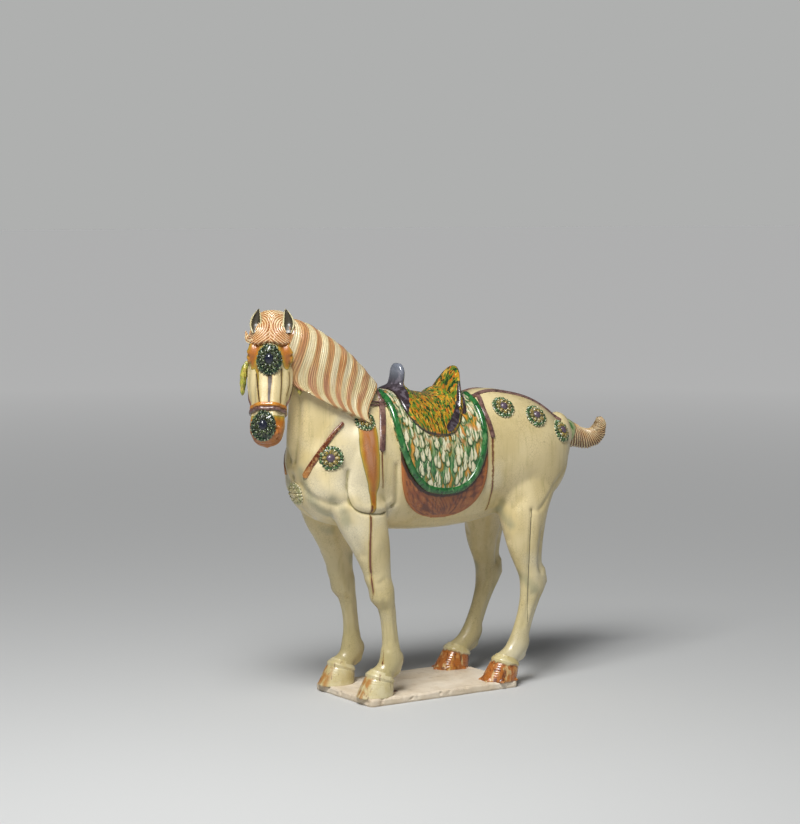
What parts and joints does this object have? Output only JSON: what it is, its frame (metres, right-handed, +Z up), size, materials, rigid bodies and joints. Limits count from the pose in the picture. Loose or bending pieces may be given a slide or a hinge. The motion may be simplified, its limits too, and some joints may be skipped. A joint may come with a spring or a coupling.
{
  "type": "glazed pottery horse figure",
  "caption": "Standing saddled pottery horse on a flat slab, head turned to its left, with combed mane, moulded medallions, bound tail, and cream, amber and green lead glaze.",
  "frame": {"origin": "centre of the slab's underside", "axes": "+Z up, the horse faces -X, and its left side is towards -Y"},
  "size_m": [0.788, 0.19, 0.692],
  "materials": {
    "glazed_pottery": "glossy lead glaze in straw, amber and green over buff clay, with a bare slab"
  },
  "bodies": {
    "root": {"horse": "glazed_pottery"}
  },
  "joints": []
}
